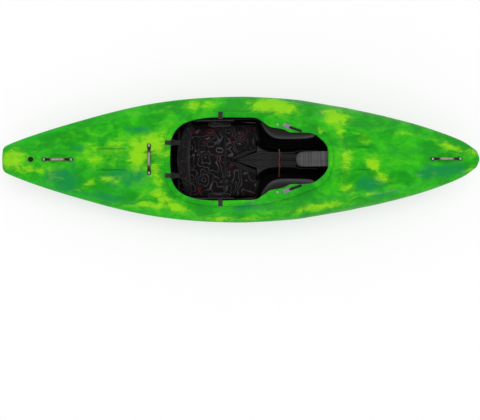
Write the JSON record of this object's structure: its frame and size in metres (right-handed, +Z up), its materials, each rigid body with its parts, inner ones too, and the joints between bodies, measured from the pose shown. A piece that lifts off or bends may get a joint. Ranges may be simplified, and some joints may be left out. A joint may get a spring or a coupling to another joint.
{
  "type": "whitewater kayak",
  "caption": "Short river kayak with a raised cockpit rim, moulded seat and console, backband, thigh braces, ratchet straps, grab handles and a sliding footbrace.",
  "frame": {"origin": "under the middle of the kayak's box, on the flat of the hull's bottom", "axes": "+X to the bow, +Y to port, +Z up; the drawing's side view looks along +Y"},
  "size_m": [2.44, 0.65, 0.347],
  "materials": {
    "hull_plastic": "satin moulded polyethylene, mid green with lighter streaks on the deck",
    "black_plastic": "satin black",
    "seat_plastic": "glossy black moulding",
    "pad_fabric": "printed dark fabric over foam",
    "grey_foam": "bare closed-cell foam",
    "black_webbing": "woven webbing",
    "red_cord": "braided elastic cord",
    "bolt_steel": "bright stainless steel",
    "rail_aluminium": "mill finish",
    "seal_rubber": "matt black"
  },
  "bodies": {
    "hull": {"hull_shell": "hull_plastic", "stern_grab_handle": "black_plastic", "bow_grab_handle": "black_plastic", "rear_security_bar": "black_plastic", "stern_handle_bolt_rear": "bolt_steel", "stern_handle_bolt_front": "bolt_steel", "bow_handle_bolt_rear": "bolt_steel", "bow_handle_bolt_front": "bolt_steel", "security_bar_bolt_right": "bolt_steel", "security_bar_bolt_left": "bolt_steel", "drain_insert": "black_plastic", "seat_pan": "seat_plastic", "seat_pad": "pad_fabric", "front_foam_pillar": "grey_foam", "rear_foam_pillar": "grey_foam", "console_bungee": "red_cord", "hip_pad_left": "pad_fabric", "hip_pad_right": "pad_fabric", "rear_strap_left": "black_webbing", "rear_strap_right": "black_webbing", "rear_strap_buckle_left": "black_plastic", "rear_strap_buckle_right": "black_plastic", "hip_strap_left": "black_webbing", "hip_strap_right": "black_webbing", "thigh_brace_bolt_left": "bolt_steel", "thigh_brace_bolt_right": "bolt_steel", "ratchet_base_left": "bolt_steel", "ratchet_base_right": "bolt_steel", "ratchet_pin_left": "bolt_steel", "ratchet_pin_right": "bolt_steel", "strap_tail_left": "black_plastic", "strap_tail_right": "black_plastic", "footbrace_bracket_left": "black_plastic", "footbrace_bracket_right": "black_plastic", "footbrace_bolt_left_rear": "bolt_steel", "footbrace_bolt_left_front": "bolt_steel", "footbrace_bolt_right_rear": "bolt_steel", "footbrace_bolt_right_front": "bolt_steel"},
    "backband_unit": {"backband": "pad_fabric", "ladder_strap_left": "black_plastic", "ladder_strap_right": "black_plastic"},
    "leg_lifter": {"leg_lifter_pad": "pad_fabric"},
    "brace_left": {"thigh_brace_left": "black_plastic"},
    "brace_right": {"thigh_brace_right": "black_plastic"},
    "lever_left": {"ratchet_lever_left": "bolt_steel"},
    "lever_right": {"ratchet_lever_right": "bolt_steel"},
    "footbrace": {"footbrace_plate": "black_plastic", "footbrace_pad": "grey_foam", "footbrace_rail_left": "rail_aluminium", "footbrace_rail_right": "rail_aluminium"},
    "drain_seal": {"drain_gasket": "seal_rubber"},
    "drain_screw": {"drain_plug": "black_plastic"}
  },
  "joints": [
    {"name": "backband_slide", "type": "slide", "parent": "hull", "child": "backband_unit", "axis": [0.9907, 0, 0.1357], "range_m": [0, 0.055]},
    {"name": "leg_lifter_tilt", "type": "hinge", "parent": "hull", "child": "leg_lifter", "pos_m": [-0.0605, 0, 0.0755], "axis": [0, -1, 0], "range_deg": [0, 8]},
    {"name": "thigh_brace_left_slide", "type": "slide", "parent": "hull", "child": "brace_left", "axis": [0.9877, 0, 0.156], "range_m": [-0.008, 0.008]},
    {"name": "thigh_brace_right_slide", "type": "slide", "parent": "hull", "child": "brace_right", "axis": [0.9877, 0, 0.156], "range_m": [-0.008, 0.008]},
    {"name": "ratchet_lever_left_hinge", "type": "hinge", "parent": "hull", "child": "lever_left", "pos_m": [0.2466, 0.1586, 0.32985], "axis": [0.342, 0.9397, 0], "range_deg": [0, 60]},
    {"name": "ratchet_lever_right_hinge", "type": "hinge", "parent": "hull", "child": "lever_right", "pos_m": [0.2466, -0.1586, 0.32985], "axis": [-0.342, 0.9397, 0], "range_deg": [0, 60]},
    {"name": "footbrace_slide", "type": "slide", "parent": "hull", "child": "footbrace", "axis": [1, 0, 0], "range_m": [-0.07, 0.05]},
    {"name": "drain_plug_lift", "type": "slide", "parent": "hull", "child": "drain_seal", "axis": [0, 0, 1], "range_m": [0, 0.0095]},
    {"name": "drain_plug_turn", "type": "hinge", "parent": "drain_seal", "child": "drain_screw", "pos_m": [-1.0732, 0, 0.2104], "axis": [0, 0, 1], "range_deg": [0, 1080]}
  ],
  "couplings": [
    {"joint": "drain_plug_lift", "follows": "drain_plug_turn", "m_per_rad": 0.00047746}
  ]
}
